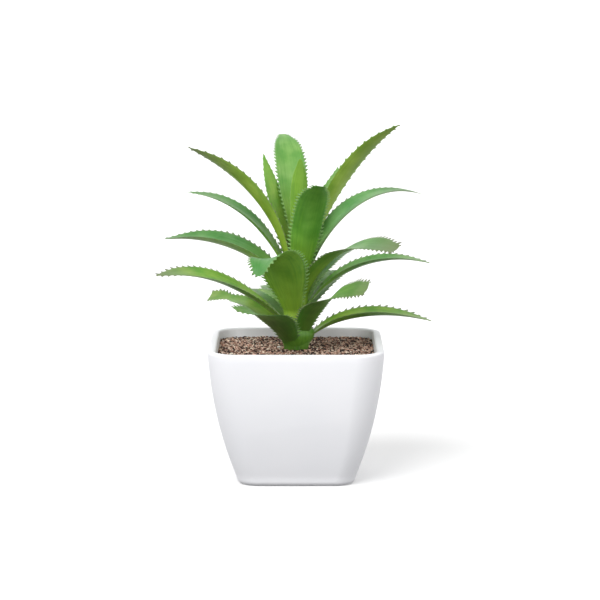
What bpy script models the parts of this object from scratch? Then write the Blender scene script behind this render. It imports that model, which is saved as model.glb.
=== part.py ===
"""Potted succulent: toothed strap leaves in a loose rosette on a short stem, rooted in
grit that fills a square, flared pot. Metres, +Z up, pot base on z = 0, front towards -Y.

The margins' small teeth are left to the finished look; each leaf here is its plain blade.
"""
import math
from collections import namedtuple

import bmesh
import bpy
from mathutils import Matrix, Vector

MM = 0.001

# ---------------------------------------------------------------- driving sizes
POT_RIM = 81.0 * MM            # across the rim, flat to flat
POT_HEIGHT = 63.5 * MM
POT_FOOT = 53.0 * MM           # across the foot, before its rounding
POT_FLARE = 0.79               # 0 is a straight flare; more eases it towards the rim
POT_CORNER = 14.0 * MM          # outer corner radius at the rim
FOOT_ROUND = 3.0 * MM          # rounding between the wall and the underside
POT_WALL = 3.6 * MM            # thickness at the rim
WALL_TAPER = 0.02              # extra thickness for each mm below the rim
POT_FLOOR = 4.5 * MM
RIM_ROUND = 1.0 * MM
SOIL_DROP = 3.8 * MM           # from the rim down to the grit
CLEARANCE = 0.3 * MM           # between pieces that touch on the real plant

STEM_FOOT = 5.4 * MM           # stem radius at the grit
STEM_CROWN = 1.9 * MM          # stem radius at its top
STEM_ROOTED = 14.0 * MM        # depth of the stem below the grit
STEM_FACES = 24

BLADE_THICK = 1.5 * MM         # leaf thickness along the keel, near the base
BASE_SHARE = 0.40              # blade width at the stem, as a share of its widest
LEAF_SEAT = 0.6 * MM           # between the stem and a leaf's keel, so tilted bases clear
CLASP = 0.25                   # share of a leaf over which its section opens from the
                               # stem's roundness to its own gutter
BLADE_FACES = 10               # vertices around a leaf section
BLADE_STEPS = 14               # sections along a leaf

SOIL_TOP = POT_HEIGHT - SOIL_DROP

# ---------------------------------------------------------------- the leaves
# azimuth: where the leaf leaves the stem (0 = right, 90 = back, 270 = front), degrees
# height:  of its base above the grit, mm       length, width: of the blade, mm
# rise, droop: slope of the blade at its base and at its tip, degrees
# bend:    1 bends evenly, more than 1 keeps the bend for the tip
# sweep:   sideways turn by the tip    roll, twist: tilt about the keel at base and tip
# channel: depth of the gutter along the upper side    point: high = blunt tip
Leaf = namedtuple("Leaf", "azimuth height length width rise droop bend sweep roll twist"
                          " channel point", defaults=(1.4, 0, 0, 0, 0.55, 1.9))
LEAVES = [
    # lowest tier, just above the grit
    Leaf(246, 3, 50, 20, 44, 16, 0.6, -34, 8, -8, 0.7),
    Leaf(5, 5, 60, 16, 42, -14, 0.6, 0, 0, 8, 0.95),
    Leaf(146, 6, 47, 14, 34, -8, 1.7, point=6.0),
    Leaf(298, 8, 60, 18, 52, 10, 0.7, 16, -10, 34, 0.7, 9.0),
    Leaf(82, 3, 34, 14, 32, -8, 1.3),
    Leaf(106, 8, 54, 16, 36, -10, 1.2),
    Leaf(126, 12, 36, 14, 38, -6, 1.3),
    # second tier
    Leaf(198, 13, 70, 17, 36, -8, 2.0, 12, -8, -12, 0.8),
    Leaf(56, 15, 46, 16, 44, -8, 1.3),
    Leaf(251, 18, 54, 25, 57, -70, 3.2, -8, 12, 0, 0.7, 4.5),
    Leaf(102, 17, 50, 15, 46, -14, 1.3),
    Leaf(157, 19, 16, 10, 44, 15, 1.2),
    Leaf(0, 20, 64, 15, 51, -15, 1.1, 0, 0, 6, 0.85),
    Leaf(44, 24, 38, 14, 50, 6, 1.4),
    # third tier
    Leaf(318, 26, 66, 17, 61, -8, 0.9, -3, -6, 26, 0.6, 7.0),
    Leaf(164, 28, 67, 20, 49, -8, 0.9, -3, 0, 4, 1.1),
    Leaf(78, 29, 52, 15, 54, -10, 1.4),
    Leaf(287, 31, 63, 16, 66, 20, 2.6, -5, -8, 0, 0.7, 3.5),
    Leaf(25, 32, 79, 15, 68, -19, 1.4, -3, 4, 2, 0.75),
    Leaf(104, 35, 44, 13, 64, 20, 1.5),
    # crown
    Leaf(176, 36, 62, 14, 61, 3, 1.6, 0, -4, -7, 0.75),
    Leaf(192, 41, 74, 13, 73, 22, 1.15, 0, 10, 8, 0.75),
    Leaf(335, 41, 86, 12, 67, 22, 2.0, -20, -9, -15),
    Leaf(46, 40, 50, 10, 66, 55, 1.0),
    Leaf(150, 46, 47, 11, 71, 74, 1.0, 0, 0, 0, 0.35),
    Leaf(285, 50, 40, 9, 86, 82, 1.0, point=3.0),
    Leaf(100, 55, 57, 15, 75, 12, 1.7, 0, 0, 0, 0.55, 3.5),
]
STEM_LENGTH = (max(leaf.height for leaf in LEAVES) + 2) * MM   # from the grit to the crown


# ---------------------------------------------------------------- helpers
def new_object(name, bm, collection, material=None):
    """Turn a bmesh into a named object in a collection, with one material."""
    bm.normal_update()
    mesh = bpy.data.meshes.new(name)
    bm.to_mesh(mesh)
    bm.free()
    obj = bpy.data.objects.new(name, mesh)
    collection.objects.link(obj)
    if material:
        mesh.materials.append(material)
    return obj


def finish(name, srgb, roughness):
    """A plain Principled material from an sRGB colour in 0..255."""
    linear = [c / 255 / 12.92 if c / 255 <= 0.04045 else ((c / 255 + 0.055) / 1.055) ** 2.4
              for c in srgb]
    material = bpy.data.materials.new(name)
    material.use_nodes = True
    shader = material.node_tree.nodes["Principled BSDF"]
    shader.inputs["Base Color"].default_value = (*linear, 1.0)
    shader.inputs["Roughness"].default_value = roughness
    shader.inputs["Metallic"].default_value = 0.0
    return material


def cut(obj, cutter):
    """Subtract the cutter from the object with a live Boolean."""
    modifier = obj.modifiers.new("cut " + cutter.name, "BOOLEAN")
    modifier.operation = "DIFFERENCE"
    modifier.solver = "EXACT"
    modifier.object = cutter


def flared_block(levels, corner):
    """A rounded-square block; levels are (z, half width) from the bottom up.

    A unit prism with rounded corners is sliced at every level, and each slice is then
    scaled to its half width, so the corner radius shrinks with the section.
    """
    widest = max(half for _, half in levels)
    bm = bmesh.new()
    bmesh.ops.create_cube(bm, size=2.0, matrix=Matrix.Translation((0, 0, 1)))
    upright = [e for e in bm.edges if abs(e.verts[0].co.z - e.verts[1].co.z) > 1]
    bmesh.ops.bevel(bm, geom=upright, offset=corner / widest, segments=6, profile=0.5,
                    affect="EDGES")
    last = len(levels) - 1
    for k in range(1, last):
        bmesh.ops.bisect_plane(bm, geom=bm.verts[:] + bm.edges[:] + bm.faces[:],
                               plane_co=(0, 0, 2 * k / last), plane_no=(0, 0, 1))
    for v in bm.verts:
        z, half = levels[round(v.co.z / 2 * last)]
        v.co = Vector((v.co.x * half, v.co.y * half, z))
    return bm


def pot_half(z):
    """Half width of the pot's outside at height z: a flare that eases towards the rim."""
    t = z / POT_HEIGHT
    flare = (1 + POT_FLARE) * t - POT_FLARE * t * t
    return POT_FOOT / 2 + (POT_RIM - POT_FOOT) / 2 * flare


def inner_half(z):
    """Half width of the pot's inside: the wall thickens a little on the way down."""
    return pot_half(z) - POT_WALL - WALL_TAPER * (POT_HEIGHT - z)


def stem_radius(z):
    """Stem radius at height z above the pot's base."""
    t = min(max((z - SOIL_TOP) / STEM_LENGTH, 0.0), 1.0)
    return STEM_FOOT + (STEM_CROWN - STEM_FOOT) * t


def width_share(t, point):
    """Blade width along the leaf as a share of its widest: narrow base, wide middle, tip."""
    if t < 0.5:
        return BASE_SHARE + (1 - BASE_SHARE) * math.sin(math.pi * t)
    return max(1 - (2 * t - 1) ** point, 0.07)


def leaf_frames(leaf):
    """Centre, side, normal, half width and half curl angle at every step of the keel."""
    base_z = SOIL_TOP + leaf.height * MM
    out = Vector((math.cos(math.radians(leaf.azimuth)), math.sin(math.radians(leaf.azimuth)), 0))
    lean = math.sin(math.radians(leaf.rise))      # how much of the thickness faces the stem
    clasp = stem_radius(base_z) + LEAF_SEAT + BLADE_THICK / 2 * lean
    centre = out * clasp
    centre.z = base_z
    step = leaf.length * MM / BLADE_STEPS
    frames, previous = [], None
    for i in range(BLADE_STEPS + 1):
        t = i / BLADE_STEPS
        slope = math.radians(leaf.rise + (leaf.droop - leaf.rise) * t ** leaf.bend)
        turn = math.radians(leaf.azimuth + leaf.sweep * t * t)
        along = Vector((math.cos(slope) * math.cos(turn), math.cos(slope) * math.sin(turn),
                        math.sin(slope)))
        if previous:
            centre = centre + (along + previous) / 2 * step
        previous = along
        side = Vector((-math.sin(turn), math.cos(turn), 0))
        roll = Matrix.Rotation(math.radians(leaf.roll + leaf.twist * t), 3, along)
        side = roll @ side
        half = leaf.width * MM / 2 * width_share(t, leaf.point)
        open_up = min(t / CLASP, 1.0)
        curl = (1 - open_up) * half / clasp + open_up * 1.6 * leaf.channel * (1 - 0.5 * t)
        frames.append((centre, side, along.cross(side), half, curl))
    return frames


def leaf_blade(leaf):
    """One leaf: a drum whose skin is laid along the keel, gutter side up."""
    frames = leaf_frames(leaf)
    bm = bmesh.new()
    turn = Matrix.Rotation(math.pi / 2, 4, "Z")
    bmesh.ops.create_cone(bm, cap_ends=True, segments=BLADE_FACES, radius1=1, radius2=1,
                          depth=1, matrix=Matrix.Translation((0, 0, 0.5)) @ turn)
    long_edges = [e for e in bm.edges if abs(e.verts[0].co.z - e.verts[1].co.z) > 0.5]
    bmesh.ops.subdivide_edges(bm, edges=long_edges, cuts=BLADE_STEPS - 1)
    margin = math.cos(math.pi / BLADE_FACES)         # how far the drum's vertices reach
    for v in bm.verts:
        t = v.co.z
        centre, side, normal, half, curl = frames[round(t * BLADE_STEPS)]
        across = v.co.x / margin * curl
        skin = v.co.y * BLADE_THICK / 2 * (1 - 0.55 * t)
        radius = half / curl - skin
        v.co = (centre + side * radius * math.sin(across)
                + normal * (half / curl - radius * math.cos(across)))
    return bm


# ---------------------------------------------------------------- scene start
for old in list(bpy.data.objects):
    bpy.data.objects.remove(old, do_unlink=True)

parts = bpy.data.collections.new("Potted succulent")
cutters = bpy.data.collections.new("Cutters")
for group in (parts, cutters):
    bpy.context.scene.collection.children.link(group)


def new_cutter(name, bm):
    """A cutter: kept apart, drawn as wire and never rendered."""
    cutter = new_object(name, bm, cutters)
    cutter.hide_render = True
    cutter.display_type = "WIRE"
    return cutter


# ---------------------------------------------------------------- pot
foot_arc = [math.radians(a) for a in (0, 30, 60, 90)]
outside = [(FOOT_ROUND * (1 - math.cos(a)),
            pot_half(FOOT_ROUND) - FOOT_ROUND * (1 - math.sin(a))) for a in foot_arc]
outside += [(z, pot_half(z)) for z in [POT_HEIGHT * k / 6 for k in range(1, 7)]]
pot = new_object("pot", flared_block(outside, POT_CORNER), parts,
                 finish("Pot, white", (236, 236, 238), 0.35))

depths = [POT_FLOOR + (SOIL_TOP - POT_FLOOR) * k / 5 for k in range(6)]
inside = [(z, inner_half(z)) for z in depths + [POT_HEIGHT + 2 * MM]]
cut(pot, new_cutter("pot cavity", flared_block(inside, POT_CORNER - POT_WALL)))
edges = pot.modifiers.new("rim and floor rounding", "BEVEL")
edges.width = RIM_ROUND
edges.segments = 2
edges.limit_method = "ANGLE"
edges.angle_limit = math.radians(60)

# ---------------------------------------------------------------- soil
fill = [(z, inner_half(z) - CLEARANCE) for z in depths]
low = POT_FLOOR + CLEARANCE
fill[:1] = [(low, fill[0][1] - RIM_ROUND), (low + RIM_ROUND, fill[0][1])]
soil = new_object("soil", flared_block(fill, POT_CORNER - POT_WALL - CLEARANCE), parts,
                  finish("Grit, brown", (122, 100, 88), 0.95))

socket = bmesh.new()
bore = STEM_FOOT + CLEARANCE
bmesh.ops.create_cone(socket, cap_ends=True, segments=STEM_FACES, radius1=bore, radius2=bore,
                      depth=2 * (STEM_ROOTED + CLEARANCE),
                      matrix=Matrix.Translation((0, 0, SOIL_TOP)))
cut(soil, new_cutter("stem socket", socket))

# ---------------------------------------------------------------- stem
trunk = bmesh.new()
bmesh.ops.create_cone(trunk, cap_ends=True, segments=STEM_FACES, radius1=1, radius2=1, depth=1,
                      matrix=Matrix.Translation((0, 0, 0.5)))
rooted = STEM_ROOTED / (STEM_ROOTED + STEM_LENGTH)
bmesh.ops.bisect_plane(trunk, geom=trunk.verts[:] + trunk.edges[:] + trunk.faces[:],
                       plane_co=(0, 0, rooted), plane_no=(0, 0, 1))
for v in trunk.verts:
    z = SOIL_TOP - STEM_ROOTED + v.co.z * (STEM_ROOTED + STEM_LENGTH)
    v.co = Vector((v.co.x * stem_radius(z), v.co.y * stem_radius(z), z))
new_object("stem", trunk, parts, finish("Stem, green", (98, 132, 66), 0.55))

# ---------------------------------------------------------------- leaves
for number, leaf in enumerate(LEAVES, 1):
    name = f"leaf_{number:02d}"
    shade = finish(f"{name}, green", (104, 152, 74), 0.45)
    new_object(name, leaf_blade(leaf), parts, shade)
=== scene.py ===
"""A small succulent with long toothed leaves, rooted in grit in a square white pot."""

import collections
import math
import random

import bmesh
import bpy
from mathutils import Matrix, Vector, noise


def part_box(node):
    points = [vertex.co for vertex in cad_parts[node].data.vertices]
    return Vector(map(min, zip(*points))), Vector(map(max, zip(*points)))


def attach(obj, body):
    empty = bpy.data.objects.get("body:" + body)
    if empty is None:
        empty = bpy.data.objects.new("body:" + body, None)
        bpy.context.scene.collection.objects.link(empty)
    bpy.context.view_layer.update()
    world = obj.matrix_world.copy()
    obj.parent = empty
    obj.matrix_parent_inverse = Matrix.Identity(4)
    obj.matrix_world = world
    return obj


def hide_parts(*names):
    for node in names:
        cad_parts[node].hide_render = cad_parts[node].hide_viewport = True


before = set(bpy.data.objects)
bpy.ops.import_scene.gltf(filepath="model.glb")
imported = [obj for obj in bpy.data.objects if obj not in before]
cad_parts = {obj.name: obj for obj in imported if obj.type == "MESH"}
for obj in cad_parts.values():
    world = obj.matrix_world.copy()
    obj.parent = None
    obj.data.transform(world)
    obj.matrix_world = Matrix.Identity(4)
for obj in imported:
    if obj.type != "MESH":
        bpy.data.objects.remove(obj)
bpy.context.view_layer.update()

# ---------------------------------------------------------------- pot
# A square planter injection moulded in white polypropylene, in one piece. Its walls flare
# up to a thick rim with soft edges, and it stands on a flat foot with a rounded edge.
MM = 0.001
POT_FOOT_HALF = 26.5 * MM        # half width of the flare where it would meet the ground
POT_FLARE = 0.79                 # 0 is a straight flare; more eases it towards the rim
POT_FOOT_ROUND = 3.0 * MM
POT_RIM_ROUND = 1.1 * MM
POT_WALL = 3.6 * MM
POT_WALL_TAPER = 0.02            # extra wall for each mm below the rim
POT_CORNER = 14.0 * MM
POT_CORNER_STEPS = 14
CORNER_LOSS = 0.9                # inside corners lose this share of the wall's thickness
POT_FLOOR = 4.5 * MM
pot_half, pot_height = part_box("pot")[1].x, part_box("pot")[1].z
soil_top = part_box("soil")[1].z


def linear(code):
    """An sRGB hex colour as the linear RGBA that a shader socket takes."""
    parts = [int(code[i:i + 2], 16) / 255 for i in (1, 3, 5)]
    return (*[c / 12.92 if c <= 0.04045 else ((c + 0.055) / 1.055) ** 2.4 for c in parts], 1)


def add_node(tree, kind, links=None, **settings):
    """Add a shader node: settings are its options, links its inputs' values or sources."""
    node = tree.nodes.new(kind)
    for option, value in settings.items():
        setattr(node, option, value)
    for socket, source in (links or {}).items():
        if isinstance(source, bpy.types.NodeSocket):
            tree.links.new(source, node.inputs[socket])
        else:
            node.inputs[socket].default_value = source
    return node


def new_finish(name, **sockets):
    """A named material: its node tree and its Principled shader, with constant sockets set."""
    material = bpy.data.materials.new(name)
    material.use_nodes = True
    shader = material.node_tree.nodes["Principled BSDF"]
    for socket, value in sockets.items():
        shader.inputs[socket.replace("_", " ")].default_value = value
    return material, material.node_tree, shader


def add_piece(name, bm, material, replaced=()):
    """Turn a bmesh into a smooth-shaded piece that rides on the plant's one body."""
    bm.normal_update()
    for face in bm.faces:
        face.smooth = True
    mesh = bpy.data.meshes.new(name)
    bm.to_mesh(mesh)
    bm.free()
    mesh.materials.append(material)
    piece = bpy.data.objects.new(name, mesh)
    bpy.context.scene.collection.objects.link(piece)
    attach(piece, "root")
    if replaced:
        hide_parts(*replaced)
    return piece


def outer_half(z):
    """Half width of the pot's outside at height z."""
    t = z / pot_height
    return POT_FOOT_HALF + (pot_half - POT_FOOT_HALF) * ((1 + POT_FLARE) * t
                                                         - POT_FLARE * t * t)


def inner_half(z):
    """Half width of the pot's inside at height z."""
    return outer_half(z) - POT_WALL - POT_WALL_TAPER * (pot_height - z)


def square_skin(profile):
    """A closed skin of rounded squares that follows a profile of (z, half width, corner).

    A rounded prism is sliced once for each point of the profile, and each slice takes
    that point's height, width and corner radius, so the profile may turn back inwards.
    """
    bm = bmesh.new()
    bmesh.ops.create_cube(bm, size=2, matrix=Matrix.Translation((0, 0, 1)))
    upright = [e for e in bm.edges if abs(e.verts[0].co.z - e.verts[1].co.z) > 1]
    corner = 0.25
    bmesh.ops.bevel(bm, geom=upright, offset=corner, segments=POT_CORNER_STEPS, profile=0.5,
                    affect="EDGES", material=-1)
    last = len(profile) - 1
    for k in range(1, last):
        bmesh.ops.bisect_plane(bm, geom=bm.verts[:] + bm.edges[:] + bm.faces[:],
                               plane_co=(0, 0, 2 * k / last), plane_no=(0, 0, 1))
    for v in bm.verts:
        z, half, radius = profile[round(v.co.z / 2 * last)]
        for axis in (0, 1):
            centre = math.copysign(1 - corner, v.co[axis])
            lean = (v.co[axis] - centre) / corner
            v.co[axis] = math.copysign(half - radius, centre) + lean * radius
        v.co.z = z
    return bm


def quarter(steps):
    """Evenly spaced angles from 0 to a right angle."""
    return [math.pi / 2 * k / steps for k in range(steps + 1)]


pot_profile = [(POT_FOOT_ROUND * (1 - math.cos(a)),
                outer_half(POT_FOOT_ROUND) - POT_FOOT_ROUND * (1 - math.sin(a)))
               for a in quarter(6)]
rim_centre = pot_height - POT_RIM_ROUND
for k in range(1, 25):
    z = POT_FOOT_ROUND + (rim_centre - POT_FOOT_ROUND) * k / 24
    pot_profile.append((z, outer_half(z)))
for a in quarter(5)[1:]:
    pot_profile.append((rim_centre + POT_RIM_ROUND * math.sin(a),
                        outer_half(rim_centre) - POT_RIM_ROUND * (1 - math.cos(a))))
for a in quarter(5):
    pot_profile.append((rim_centre + POT_RIM_ROUND * math.cos(a),
                        inner_half(rim_centre) + POT_RIM_ROUND * (1 - math.sin(a))))
for k in range(1, 9):
    z = rim_centre + (POT_FLOOR - rim_centre) * k / 8
    pot_profile.append((z, inner_half(z)))

half_profile = []
for z, half in pot_profile:
    wall_in = outer_half(min(z, pot_height)) - half
    half_profile.append((z, half, POT_CORNER * half / pot_half - CORNER_LOSS * wall_in))

# Polypropylene from a polished mould: a soft, even sheen over a faintly cool white, with
# the slow unevenness that cooling leaves in a flat wall.
white_plastic, tree, shader = new_finish("moulded polypropylene, white", IOR=1.49,
                                         Specular_IOR_Level=0.35)
place = add_node(tree, "ShaderNodeTexCoord")
slow = add_node(tree, "ShaderNodeTexNoise", {"Vector": place.outputs["Object"],
                                             "Scale": 1 / (22 * MM), "Detail": 2.0})
fine = add_node(tree, "ShaderNodeTexNoise", {"Vector": place.outputs["Object"],
                                             "Scale": 1 / (0.9 * MM), "Detail": 2.0})
tint = add_node(tree, "ShaderNodeMix", {"Factor": slow.outputs["Fac"],
                                        6: linear("#efeff2"), 7: linear("#e9eaee")},
                data_type="RGBA")
sheen = add_node(tree, "ShaderNodeMapRange", {"Value": slow.outputs["Fac"],
                                              "To Min": 0.42, "To Max": 0.55})
skin = add_node(tree, "ShaderNodeBump", {"Height": fine.outputs["Fac"], "Strength": 0.05,
                                         "Distance": 0.05 * MM})
tree.links.new(tint.outputs[2], shader.inputs["Base Color"])
tree.links.new(sheen.outputs["Result"], shader.inputs["Roughness"])
tree.links.new(skin.outputs["Normal"], shader.inputs["Normal"])
add_piece("planter", square_skin(half_profile), white_plastic, ["pot"])

# ---------------------------------------------------------------- grit
# The pot is filled with dry mixed grit: crushed stone and bark sieved to about a
# millimetre, poured in and levelled by hand. A dark bed under the loose grains is painted
# shade: it stands for the deep shade in the gaps between them.
GRAIN_PITCH = 0.86 * MM          # between grains, before each is shifted at random
GRAIN_LONG = 0.80 * MM           # half length of a common grain
GRAIN_THIN = 0.40 * MM           # half its thickness
GRAIN_SHADES = ["#d2ae9c", "#bf9884", "#e6d3c0", "#9a7564", "#7a5a4c", "#4a3833", "#2a211f",
                "#b9a08e", "#3a2d29"]
GRIT_CORNER = 10.0 * MM
GRIT_LOW = 0.9 * MM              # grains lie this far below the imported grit's flat top
HUMP_WIDE, HUMP_HIGH = 11 * MM, 0.35 * MM
MOUND_WIDE, MOUND_HIGH = 8 * MM, 1.4 * MM    # where the grit is heaped against the stem
CLEARANCE = 0.3 * MM             # between the bed and the pot
BED_LOW = 1.5 * MM               # less the clearance, the bed's top is this far down
BATCH = 240                      # grains made in one go, because a full bmesh is slow
random.seed(7)


def soil_height(x, y):
    """Height of the grit: level, with low humps from pouring and a mound at the stem."""
    hump = noise.noise(Vector((x, y, 0)) / HUMP_WIDE)
    mound = math.exp(-(math.hypot(x, y) / MOUND_WIDE) ** 2)
    return soil_top - GRIT_LOW + HUMP_HIGH * hump + MOUND_HIGH * mound


bed_profile = []
for k in range(9):
    z = POT_FLOOR + CLEARANCE + (soil_top - BED_LOW - POT_FLOOR) * k / 8
    bed_profile.append((z, inner_half(z) - CLEARANCE, GRIT_CORNER))
# Painted shade: the bed's near-black colour is the shade deep between the grains.
gap_shade_bed, tree, shader = new_finish("grit gaps, painted shade", Roughness=0.95, IOR=1.4)
place = add_node(tree, "ShaderNodeTexCoord")
speckle = add_node(tree, "ShaderNodeTexNoise", {"Vector": place.outputs["Object"],
                                                "Scale": 1 / (0.7 * MM), "Detail": 3.0})
shade = add_node(tree, "ShaderNodeMix", {"Factor": speckle.outputs["Fac"],
                                         6: linear("#1c1614"), 7: linear("#5b463d")},
                 data_type="RGBA")
tree.links.new(shade.outputs[2], shader.inputs["Base Color"])
add_piece("grit_gap_shade", square_skin(bed_profile), gap_shade_bed, ["soil"])

STEM_WAIST = 4.2 * MM            # the stem's radius where the grit meets it
GRIT_GAP = 0.35 * MM             # from the outermost grains' middles to the pot's wall
grit_half = inner_half(soil_top) - GRIT_GAP
spots = []
count = int(2 * grit_half / GRAIN_PITCH)
for row in range(count):
    for column in range(count):
        x = -grit_half + (column + random.random()) * GRAIN_PITCH
        y = -grit_half + (row + random.random()) * GRAIN_PITCH
        over = [max(abs(c) - (grit_half - GRIT_CORNER), 0) for c in (x, y)]
        if math.hypot(*over) > GRIT_CORNER or math.hypot(x, y) < STEM_WAIST:
            continue
        spots.append((x, y))

loose_grit = bmesh.new()
loose_grit.verts.layers.float_color.new("grain")
for start in range(0, len(spots), BATCH):
    batch = bmesh.new()
    shade_of = batch.verts.layers.float_color.new("grain")
    for x, y in spots[start:start + BATCH]:
        size = random.uniform(0.65, 1.25)
        turn = Matrix.Rotation(random.uniform(0, math.tau), 4, "Z")
        tilt = Matrix.Rotation(random.uniform(-0.7, 0.7), 4, "X")
        roll = Matrix.Rotation(random.uniform(0, math.tau), 4, "Y")
        stretch = Matrix.Diagonal((GRAIN_THIN * size * random.uniform(0.8, 1.5),
                                   GRAIN_LONG * size, GRAIN_THIN * size, 1))
        z = soil_height(x, y) + random.uniform(0, 0.5) * MM
        grain = bmesh.ops.create_icosphere(
            batch, subdivisions=1, radius=1,
            matrix=Matrix.Translation((x, y, z)) @ turn @ tilt @ roll @ stretch)
        colour = linear(random.choice(GRAIN_SHADES))
        bright = random.uniform(0.75, 1.2)
        for v in grain["verts"]:
            v[shade_of] = (*[c * bright for c in colour[:3]], 1)
    chunk = bpy.data.meshes.new("batch")
    batch.to_mesh(chunk)
    batch.free()
    loose_grit.from_mesh(chunk)
    bpy.data.meshes.remove(chunk)

# A few larger pieces lie on top: two pale chips of stone and some dark splinters of bark.
# Each has its place in mm, its turn in degrees, its half length and width in mm, and a shade.
shade_of = loose_grit.verts.layers.float_color["grain"]
for x, y, turn, long, wide, code in ((-8, 4, 30, 1.2, 0.9, "#f2efe8"),
                                     (26, 31, 70, 2.2, 0.7, "#241c19"),
                                     (21, 29, 110, 1.9, 0.6, "#2c221e"),
                                     (-30, -12, 60, 1.6, 0.7, "#e9dfce"),
                                     (17, -22, 100, 1.8, 0.6, "#2a201c"),
                                     (-14, 27, 20, 1.7, 0.6, "#33261f")):
    x, y = x * MM, y * MM
    chip = bmesh.ops.create_icosphere(
        loose_grit, subdivisions=1, radius=1,
        matrix=Matrix.Translation((x, y, soil_height(x, y) + 0.7 * MM))
        @ Matrix.Rotation(math.radians(turn), 4, "Z")
        @ Matrix.Diagonal((long * MM, wide * MM, 0.5 * MM, 1)))
    for v in chip["verts"]:
        v[shade_of] = linear(code)

# Crushed stone and bark: dull broken faces, each grain in its own colour.
grit_stone, tree, shader = new_finish("crushed stone and bark", Roughness=0.85, IOR=1.5,
                                      Specular_IOR_Level=0.3)
own = add_node(tree, "ShaderNodeAttribute", attribute_name="grain")
tree.links.new(own.outputs["Color"], shader.inputs["Base Color"])
grit = add_piece("loose_grit", loose_grit, grit_stone)
for face in grit.data.polygons:
    face.use_smooth = False

# ---------------------------------------------------------------- leaf lines
# Every leaf grows from the stem as a gutter-shaped blade. Its two margins and its keel
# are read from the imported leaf, section by section from the base to the tip.


def leaf_lines(name):
    """The keel, and the margins measured from it, at each section of a packed leaf."""
    bm = bmesh.new()
    bm.from_mesh(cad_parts[name].data)
    bmesh.ops.remove_doubles(bm, verts=bm.verts, dist=0.001 * MM)
    bmesh.ops.dissolve_limit(bm, angle_limit=math.radians(0.3), verts=bm.verts,
                             edges=bm.edges)
    bm.verts.index_update()
    tip_cap = sorted(bm.faces, key=lambda f: (-len(f.verts), f.calc_area()))[0]
    rings, ring = [], sorted(tip_cap.verts, key=lambda v: v.index)
    seen = set(ring)
    while ring:
        rings.insert(0, [v.co.copy() for v in ring])
        nearby = {e.other_vert(v) for v in ring for e in v.link_edges} - seen
        seen |= nearby
        ring = sorted(nearby, key=lambda v: v.index)
    bm.free()

    middle = len(rings) // 2
    wide = max(((a, b) for a in rings[middle] for b in rings[middle]),
               key=lambda pair: (pair[0] - pair[1]).length)
    across = (wide[1] - wide[0]).normalized()
    centres = [sum(r, Vector()) / len(r) for r in rings]
    found = {}
    for order in (range(middle, len(rings)), range(middle, -1, -1)):
        side = across
        for i in order:
            ranked = sorted(rings[i], key=side.dot)
            half = len(ranked) // 2
            left, right = sum(ranked[:2], Vector()) / 2, sum(ranked[-2:], Vector()) / 2
            keel = sum(ranked[half - 1:half + 1], Vector()) / 2
            found[i] = (left, keel, right)
            side = (right - left).normalized()
    along = centres[middle + 1] - centres[middle - 1]
    left, keel, right = found[middle]
    upward = (left + right) / 2 - keel
    if along.cross(right - left).dot(upward) < 0:
        found = {i: (c, b, a) for i, (a, b, c) in found.items()}
    lines = [found[i] for i in range(len(rings))]
    return ([k for _, k, _ in lines], [a - k for a, k, _ in lines],
            [b - k for _, k, b in lines])


def smooth_between(points, t):
    """The point at t, from 0 to 1, on a smooth curve through evenly spaced points."""
    last = len(points) - 1
    i = min(max(int(t * last), 0), last - 1)
    f = t * last - i
    p1, p2 = points[i], points[i + 1]
    p0 = points[i - 1] if i > 0 else 2 * p1 - p2
    p3 = points[i + 2] if i + 2 <= last else 2 * p2 - p1
    return 0.5 * (2 * p1 + (p2 - p0) * f + (2 * p0 - 5 * p1 + 4 * p2 - p3) * f * f
                  + (3 * p1 - p0 - 3 * p2 + p3) * f ** 3)


leaf_names = sorted(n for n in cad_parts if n.startswith("leaf_"))
leaf_shapes = {name: leaf_lines(name) for name in leaf_names}

# ---------------------------------------------------------------- stem
# A short fleshy stem, green from the grit to the crown. It is narrow where it leaves the
# grit, swells into a cup where the lowest leaves join it, and tapers inside the sheaths.
STEM_AROUND, STEM_UP = 48, 90
STEM_CROWN = 1.9 * MM            # the stem's radius at its top
WAIST_LONG = 4 * MM              # the stem widens from its waist over this height
CUP_HEIGHT = 7.5 * MM            # of the widest part of the cup above the grit
CUP_SPREAD = 4.5 * MM            # the cup fades over this height, up and down
CUP_BULGE = 3.2 * MM             # how far it swells out from the stem
RIBS, RIB_HIGH = 9, 0.12 * MM
RIB_TWIST = 120                  # radians in a metre of height
stem_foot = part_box("stem")[1].x
stem_low, stem_high = (corner.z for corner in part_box("stem"))


def stem_radius(z):
    """Radius of the bare stem at height z."""
    t = min(max((z - soil_top) / (stem_high - soil_top), 0), 1)
    waist = min(max(1 - (z - soil_top) / WAIST_LONG, 0), 1) ** 2
    return stem_foot + (STEM_CROWN - stem_foot) * t + (STEM_WAIST - stem_foot) * waist


trunk = bmesh.new()
bmesh.ops.create_cone(trunk, cap_ends=True, segments=STEM_AROUND, radius1=1, radius2=1,
                      depth=1, matrix=Matrix.Translation((0, 0, 0.5)))
upright = [e for e in trunk.edges if abs(e.verts[0].co.z - e.verts[1].co.z) > 0.5]
bmesh.ops.subdivide_edges(trunk, edges=upright, cuts=STEM_UP - 1)
for v in trunk.verts:
    z = stem_low + v.co.z * (stem_high - stem_low)
    angle = math.atan2(v.co.y, v.co.x)
    cup = math.exp(-((z - soil_top - CUP_HEIGHT) / CUP_SPREAD) ** 2)
    cup *= CUP_BULGE * (1 + 0.15 * math.sin(3 * angle + 1))
    radius = stem_radius(z) + cup + RIB_HIGH * math.sin(RIBS * angle + RIB_TWIST * z)
    if v.co.z > 0.999:
        radius *= 0.5
    v.co = Vector((radius * math.cos(angle), radius * math.sin(angle), z))

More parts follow.
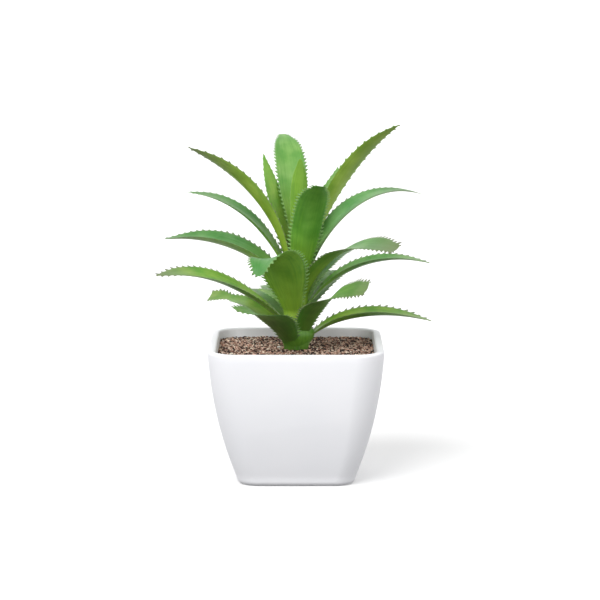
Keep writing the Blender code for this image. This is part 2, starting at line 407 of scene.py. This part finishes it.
# Living stem tissue: waxy, with a low sheen and fine ribs that run up it.
stem_skin, tree, shader = new_finish("succulent stem, waxy", Roughness=0.45, IOR=1.42)
place = add_node(tree, "ShaderNodeTexCoord")
streaky = add_node(tree, "ShaderNodeMapping", {"Vector": place.outputs["Object"],
                                               "Scale": (900.0, 900.0, 60.0)})
streak = add_node(tree, "ShaderNodeTexNoise", {"Vector": streaky.outputs["Vector"],
                                               "Scale": 1.0, "Detail": 3.0})
shade = add_node(tree, "ShaderNodeMix", {"Factor": streak.outputs["Fac"],
                                         6: linear("#2f6614"), 7: linear("#6f9f34")},
                 data_type="RGBA")
ribs = add_node(tree, "ShaderNodeBump", {"Height": streak.outputs["Fac"], "Strength": 0.3,
                                         "Distance": 0.2 * MM})
tree.links.new(shade.outputs[2], shader.inputs["Base Color"])
tree.links.new(ribs.outputs["Normal"], shader.inputs["Normal"])
add_piece("trunk", trunk, stem_skin, ["stem"])

# ---------------------------------------------------------------- leaves
# Long fleshy blades with a gutter along the upper side. Each sheathes the stem at its
# base, and both margins carry soft hooked teeth that lean towards the tip.
#
# yellow, olive: how yellow a leaf's upper side is, and how olive its underside
# light, brown: how much painted light brightens its base, underside and edges, and how brown
# its tip and teeth
# pitch, tooth: the spacing and the height of its teeth, mm
# end: how square its end is; 1 is a point, 2 is round, 5 is square
# flare: how much it narrows and then flares before the end
# slim: the share of its width that it loses towards the end
# turn, turn_from: degrees that it turns over by the end, and where along it that starts
Look = collections.namedtuple("Look", "yellow olive light brown pitch tooth end flare slim"
                              " turn turn_from",
                              defaults=(0.3, 0.6, 0.4, 0.6, 3.1, 1.3, 1.1, 0.0, 0.0, 0, 0.55))
LOOKS = {
    "leaf_01": Look(0.3, 0.4, 0.05, 0.5, 2.4, 1.9, end=1.6, flare=0.2, turn=-25),
    "leaf_02": Look(0.9, 0.5, 0.3, 0.9, 3.2, 2.2, end=1.0),
    "leaf_03": Look(0.8, 0.5, 0.9, 0.6, 2.0, 1.4, end=6.0, flare=0.5, slim=0.45, turn=-35),
    "leaf_04": Look(0.4, 0.3, 0.1, 1.2, 2.1, 1.8, end=6.0, flare=0.1, slim=0.4, turn=24,
                    turn_from=0.3),
    "leaf_08": Look(0.9, 0.4, 0.4, 1.6, 3.0, 1.6),
    "leaf_10": Look(0.0, 0.5, 0.75, 0.0, 2.2, 1.9, end=1.8, slim=0.25),
    "leaf_12": Look(0.8, 0.4, 0.9, 0.1, 2.0, 1.8),
    "leaf_13": Look(0.2, 0.2, 0.3, 0.7, 2.8, 1.8),
    "leaf_14": Look(0.1, 0.2, 0.6, 0.5, 2.2, 1.8, end=1.5),
    "leaf_15": Look(0.1, 0.5, 0.5, 1.5, 2.3, 1.8, end=4.0, slim=0.3, turn=8),
    "leaf_16": Look(0.0, 0.8, 0.5, 0.5, 3.0, 1.5, turn=-12, turn_from=0.1),
    "leaf_18": Look(0.2, 0.1, 0.8, 0.0, 2.2, 1.7, end=3.0),
    "leaf_19": Look(0.0, 0.3, 0.4, 1.0, 2.9, 1.1),
    "leaf_21": Look(0.1, 0.3, 0.5, 0.4, 3.0, 1.1),
    "leaf_22": Look(0.5, 1.0, 0.7, 1.2, 4.0, 1.0, turn=14, turn_from=0.1),
    "leaf_23": Look(1.0, 1.0, 1.0, 0.1, 4.2, 1.1),
    "leaf_24": Look(0.4, 0.5, 0.5, 0.2, 2.8, 0.8),
    "leaf_25": Look(0.9, 0.5, 1.0, 0.0, 2.5, 0.4, slim=0.3, turn=-35, turn_from=0.1),
    "leaf_26": Look(1.0, 0.5, 1.0, 0.0, 2.5, 0.2, end=1.6),
    "leaf_27": Look(0.35, 0.5, 0.6, 0.0, 2.0, 1.3, end=1.8, slim=0.1),
}
TOOTH_STEP = 0.37 * MM           # between the sections that shape a tooth
# How far each section of a tooth stands out and leans forward, as shares of its height.
TOOTH_SHAPE = {1: (0.10, 0.0), 2: (0.50, 0.10), 3: (1.0, 0.50), 4: (0.38, 0.35)}
TOOTH_SIZES = 0.7, 1.15          # smallest and largest, as shares of the look's tooth
TOOTH_LIFT = 0.5                 # 0 points a tooth straight across; more follows the gutter
BARE_BASE = 0.17                 # the share of a leaf, sheath included, with no teeth
TEETH_GROW = 12                  # teeth reach full size in a twelfth of the leaf
BLADE_AROUND = 24
BLADE_HALF_THICK = 0.74 * MM     # along the keel at the base
BLADE_THINS = 0.6                # the share of its thickness that it loses by the tip
EDGE_END, EDGE_RATE = 1.02, 12   # the last six hundredths thin further, to an edge
LEAST_WIDTH = 0.04               # of the closed end, as a share of the blade's width
SHEATH_STEP = 3.2 * MM           # between the three rings that carry a leaf down the stem
SHEATH_LIFT = 0.25 * MM          # of the upper ring's keel, off the stem
SHEATH_WIDTHS = 1.05, 0.98, 0.90
CURVE_SAMPLES = 240
# A flared end is narrowest and then widest at these places, each over its own reach.
NECK_AT, NECK_REACH = 0.80, 0.08
FAN_AT, FAN_REACH = 0.97, 0.07


def eased(t, start, stop):
    """A smooth step from 0 to 1 while t goes from start to stop."""
    f = min(max((t - start) / (stop - start), 0), 1)
    return f * f * (3 - 2 * f)


def sheathed(keel, left, right):
    """The same lines, carried down the stem for three more sections as a sheath."""
    radial = Vector((keel[0].x, keel[0].y, 0)).normalized()
    for k, share in enumerate(SHEATH_WIDTHS, 1):
        z = keel[0].z - SHEATH_STEP
        keel = [radial * (stem_radius(z) + SHEATH_LIFT / k) + Vector((0, 0, z))] + keel
        left, right = [left[0] * share] + left, [right[0] * share] + right
    return keel, left, right


def blade(name, look):
    """The finished mesh of one leaf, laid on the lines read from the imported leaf."""
    keel, left, right = sheathed(*leaf_shapes[name])
    last_full = 1 - 1 / (len(keel) - 1)

    def section(t):
        """Keel point and the two margins at t, with the end closed as the look says."""
        a, b = smooth_between(left, min(t, last_full)), smooth_between(right, min(t, last_full))
        fan = math.exp(-((t - FAN_AT) / FAN_REACH) ** 2)
        neck = math.exp(-((t - NECK_AT) / NECK_REACH) ** 2)
        share = 1 + look.flare * (fan - neck)
        share *= 1 - look.slim * eased(t, look.turn_from, 1)
        if t > last_full:
            reach = (t - last_full) / (1 - last_full)
            share *= max(1 - reach ** look.end, 0) ** (1 / look.end)
        share = max(share, LEAST_WIDTH)
        return smooth_between(keel, t), a * share, b * share

    # Sections are evenly spaced along the longer margin, a whole number to each tooth.
    fine = [section(k / CURVE_SAMPLES) for k in range(CURVE_SAMPLES + 1)]
    run = [0.0]
    for (c0, a0, b0), (c1, a1, b1) in zip(fine, fine[1:]):
        run.append(run[-1] + max((c1 + a1 - c0 - a0).length, (c1 + b1 - c0 - b0).length))
    stride = max(round(look.pitch * MM / TOOTH_STEP), 5)
    steps = stride * max(round(run[-1] / (look.pitch * MM)), 4)
    stations, k = [], 0
    for i in range(steps + 1):
        target = run[-1] * i / steps
        while k < CURVE_SAMPLES - 1 and run[k + 1] < target:
            k += 1
        t = (k + (target - run[k]) / max(run[k + 1] - run[k], 1e-9)) / CURVE_SAMPLES
        centre, a, b = section(min(t, 1))
        ahead = (smooth_between(keel, min(t + 0.01, 1))
                 - smooth_between(keel, t - 0.01)).normalized()
        over = Matrix.Rotation(math.radians(look.turn) * eased(t, look.turn_from, 1), 3, ahead)
        stations.append((t, centre, over @ a, over @ b, ahead))

    # A unit rod, sliced once for each section: across it, x runs from margin to margin and
    # y through the blade's thickness, and both are laid on the section's own lines.
    bm = bmesh.new()
    lay = bm.verts.layers.float_color.new("blade")
    kind = bm.verts.layers.float_color.new("kind")
    bmesh.ops.create_cone(bm, cap_ends=True, segments=BLADE_AROUND, radius1=1, radius2=1,
                          depth=1, matrix=Matrix.Translation((0, 0, 0.5)))
    upright = [e for e in bm.edges if abs(e.verts[0].co.z - e.verts[1].co.z) > 0.5]
    bmesh.ops.subdivide_edges(bm, edges=upright, cuts=steps - 1)
    size_of = [random.uniform(*TOOTH_SIZES) for _ in range(2 * steps // stride + 6)]
    for v in bm.verts:
        u, w, i = v.co.x, v.co.y, round(v.co.z * steps)
        t, centre, a, b, ahead = stations[i]
        bow = (a + b) / 2
        spot = centre + (b - a) / 2 * u + bow * u * u
        slant = ((b - a) / 2 + 2 * u * bow).normalized()
        thick = BLADE_HALF_THICK * (1 - BLADE_THINS * t) * min(1, (EDGE_END - t) * EDGE_RATE)
        rise = ahead.cross(slant).normalized()
        v.co = spot + rise * w * thick
        spike = 0.0
        if abs(u) > 0.999 and t > BARE_BASE and i < steps - 1:
            hand = 1 if u > 0 else -1
            phase = i + (stride // 2 if hand > 0 else 0)
            spike, forward = TOOTH_SHAPE.get(phase % stride, (0, 0))
            edge = 3 if u > 0 else 2
            tangent = ((stations[i + 1][1] + stations[i + 1][edge])
                       - (stations[i - 1][1] + stations[i - 1][edge])).normalized()
            outward = rise.cross(tangent).normalized() * TOOTH_LIFT + (b - a).normalized()
            outward = outward.normalized() * hand
            grow = look.tooth * MM * size_of[phase // stride * 2 + (hand > 0)]
            grow *= min((t - BARE_BASE) * TEETH_GROW, 1)
            v.co += outward * spike * grow + tangent * forward * grow
        v[lay] = (t, 0.5 + u / 2, 0.5 + 0.5 * math.copysign(min(abs(w) * 4, 1), w), spike)
        v[kind] = (look.yellow, look.olive, look.light, look.brown)
    return bm


# Leaf skin: a waxy cuticle over green flesh, with a satin sheen. The upper side is bluer,
# the underside is olive with painted shade on the leaves that lie in shade, and the tip and the
# teeth dry brown.
leaf_skin, tree, shader = new_finish("succulent leaf, waxy cuticle", IOR=1.42,
                                     Subsurface_Weight=0.10, Subsurface_Scale=1.0 * MM,
                                     Subsurface_Radius=(0.6, 1.0, 0.25))
lay = add_node(tree, "ShaderNodeAttribute", attribute_name="blade")
kind = add_node(tree, "ShaderNodeAttribute", attribute_name="kind")
split = add_node(tree, "ShaderNodeSeparateColor", {"Color": lay.outputs["Color"]})
along, from_left, upper = (split.outputs[k] for k in ("Red", "Green", "Blue"))
spike = lay.outputs["Alpha"]
split = add_node(tree, "ShaderNodeSeparateColor", {"Color": kind.outputs["Color"]})
yellow, olive, light = (split.outputs[k] for k in ("Red", "Green", "Blue"))
brown = kind.outputs["Alpha"]
place = add_node(tree, "ShaderNodeTexCoord")
blotch = add_node(tree, "ShaderNodeTexNoise", {"Vector": place.outputs["Object"],
                                               "Scale": 1 / (9 * MM), "Detail": 3.0})
own_place = add_node(tree, "ShaderNodeVectorMath", {0: kind.outputs["Color"],
                                                    1: (41.0, 23.0, 67.0)},
                     operation="MULTIPLY")
stretched = add_node(tree, "ShaderNodeVectorMath", {0: lay.outputs["Color"],
                                                    1: (5.0, 22.0, 4.0),
                                                    2: own_place.outputs["Vector"]},
                     operation="MULTIPLY_ADD")
streak = add_node(tree, "ShaderNodeTexNoise", {"Vector": stretched.outputs["Vector"],
                                               "Scale": 1.0, "Detail": 4.0})
off_centre = add_node(tree, "ShaderNodeMath", {0: from_left, 1: 0.5}, operation="SUBTRACT")
margin = add_node(tree, "ShaderNodeMath", {0: off_centre.outputs[0]}, operation="ABSOLUTE")

# Where each colour shows: a number read from the leaf's own lines or from the noises, from
# the value where it starts to the value where it is full, times a share of its own.
masks = {"upper": upper, "yellow": yellow, "olive": olive, "brown": brown, "light": light}
for mask, number, start, full, share in (
        ("patch", blotch.outputs["Fac"], 0.35, 0.65, 1.0),
        # lit: painted light, which takes the underside from its shaded copy to its lit one
        ("lit", light, 0.0, 0.8, 1.0),
        # base: painted light that pales the base, as strong as the leaf's light value
        ("base", along, 0.55, 0.20, light),
        ("inner vein", streak.outputs["Fac"], 0.35, 0.65, 0.12),
        ("outer vein", streak.outputs["Fac"], 0.35, 0.65, margin.outputs[0]),
        ("edge", margin.outputs[0], 0.465, 0.5, 0.6),
        ("dry tip", along, 0.72, 1.2, brown),
        ("tooth", spike, 0.2, 1.1, 1.0)):
    spread = add_node(tree, "ShaderNodeMapRange", {"Value": number, "From Min": start,
                                                   "From Max": full})
    limited = add_node(tree, "ShaderNodeMath", {0: spread.outputs["Result"], 1: share},
                       operation="MULTIPLY")
    masks[mask] = limited.outputs[0]

# The colours, laid over each other in order: each mixes two colours, or a colour and an
# earlier mix, by a mask.
mixes = {}
for mix, mask, below, above in (
        ("bluish", "patch", "#48843e", "#69995a"),
        ("yellowish", "patch", "#69a02f", "#93b548"),
        ("top side", "yellow", "bluish", "yellowish"),
        ("green under", "patch", "#54922c", "#6fac40"),
        ("olive under", "patch", "#86a72e", "#a2c047"),
        ("lit under", "olive", "green under", "olive under"),
        # painted shade: the underside's darker copy, for the leaves that lie in shade
        ("shaded under", "patch", "#3a641d", "#4f7a28"),
        ("underside", "lit", "shaded under", "lit under"),
        ("flesh", "upper", "underside", "top side"),
        # painted light: the base paled by the leaf's light value
        ("with lit base", "base", "flesh", "#a3bf42"),
        ("with fine veins", "inner vein", "with lit base", "#3d7a2c"),
        ("with veins", "outer vein", "with fine veins", "#3d7a2c"),
        # painted light: the edge is dark on shaded leaves and pale on lit ones
        ("edge in painted light", "light", "#3c6f2a", "#8fb070"),
        ("edge", "brown", "edge in painted light", "#868a72"),
        ("with edge", "edge", "with veins", "edge"),
        ("with dry tip", "dry tip", "with edge", "#6a7353"),
        ("tooth", "brown", "#7fb368", "#504b36"),
        ("skin", "tooth", "with dry tip", "tooth")):
    shades = [mixes.get(colour) or linear(colour) for colour in (below, above)]
    layer = add_node(tree, "ShaderNodeMix", {"Factor": masks[mask], 6: shades[0],
                                             7: shades[1]}, data_type="RGBA")
    mixes[mix] = layer.outputs[2]
gloss = add_node(tree, "ShaderNodeMapRange", {"Value": streak.outputs["Fac"],
                                              "From Min": 0.3, "From Max": 0.7,
                                              "To Min": 0.38, "To Max": 0.55})
veins = add_node(tree, "ShaderNodeBump", {"Height": streak.outputs["Fac"],
                                          "Strength": 0.2, "Distance": 0.2 * MM})
tree.links.new(mixes["skin"], shader.inputs["Base Color"])
tree.links.new(gloss.outputs["Result"], shader.inputs["Roughness"])
tree.links.new(veins.outputs["Normal"], shader.inputs["Normal"])

for name in leaf_names:
    add_piece(name.replace("leaf", "blade"), blade(name, LOOKS.get(name, Look())), leaf_skin,
              [name])

# ---------------------------------------------------------------- floor, light, camera
# A pale studio sweep under three distant soft lamps: the key comes from the upper left, the
# fill from the right and a weaker one from behind. The camera looks slightly down.
CAMERA_REACH = 1.10
CAMERA_PITCH = math.radians(8.65)
CAMERA_TARGET = Vector((0.0018, 0, 0.0828))
CAMERA_LENS = 141.5
SKY_ABOVE, SKY_BELOW = 0.60, 0.25

sweep = bmesh.new()
bmesh.ops.create_grid(sweep, x_segments=2, y_segments=2, size=15)
mesh = bpy.data.meshes.new("floor")
sweep.to_mesh(mesh)
sweep.free()
floor = bpy.data.objects.new("floor", mesh)
bpy.context.scene.collection.objects.link(floor)
paper, tree, shader = new_finish("pale studio paper", Base_Color=linear("#fafafa"),
                                 Roughness=0.9)
mesh.materials.append(paper)
floor.visible_diffuse = False    # the sky's dim lower half stands for the floor's bounce

world = bpy.data.worlds.new("studio")
bpy.context.scene.world = world
world.use_nodes = True
tree = world.node_tree
place = add_node(tree, "ShaderNodeTexCoord")
height = add_node(tree, "ShaderNodeSeparateXYZ", {"Vector": place.outputs["Generated"]})
glow = add_node(tree, "ShaderNodeMapRange", {"Value": height.outputs["Z"],
                                             "From Min": -0.15, "From Max": 0.15,
                                             "To Min": SKY_BELOW, "To Max": SKY_ABOVE})
tree.links.new(glow.outputs["Result"], tree.nodes["Background"].inputs["Strength"])
tree.nodes["Background"].inputs["Color"].default_value = (1, 1, 1, 1)


def add_lamp(name, towards, spread, power):
    """A distant soft lamp: towards is the way from the plant to the lamp."""
    lamp = bpy.data.lights.new(name, "SUN")
    lamp.angle = math.radians(spread)
    lamp.energy = power
    obj = bpy.data.objects.new(name, lamp)
    obj.rotation_euler = Vector(towards).to_track_quat("Z", "Y").to_euler()
    bpy.context.scene.collection.objects.link(obj)


add_lamp("key", (-0.50, -0.60, 0.66), 50, 2.75)
add_lamp("fill", (0.75, -0.60, 0.30), 70, 1.3)
add_lamp("back", (0.20, 0.90, 0.40), 80, 0.9)

camera = bpy.data.objects.new("camera", bpy.data.cameras.new("camera"))
camera.data.lens = CAMERA_LENS
camera.data.sensor_width = 36
camera.data.clip_end = 60
camera.location = CAMERA_TARGET + CAMERA_REACH * Vector((0, -math.cos(CAMERA_PITCH),
                                                         math.sin(CAMERA_PITCH)))
camera.rotation_euler = (math.pi / 2 - CAMERA_PITCH, 0, 0)
bpy.context.scene.collection.objects.link(camera)
bpy.context.scene.camera = camera
bpy.context.scene.view_settings.view_transform = "Standard"
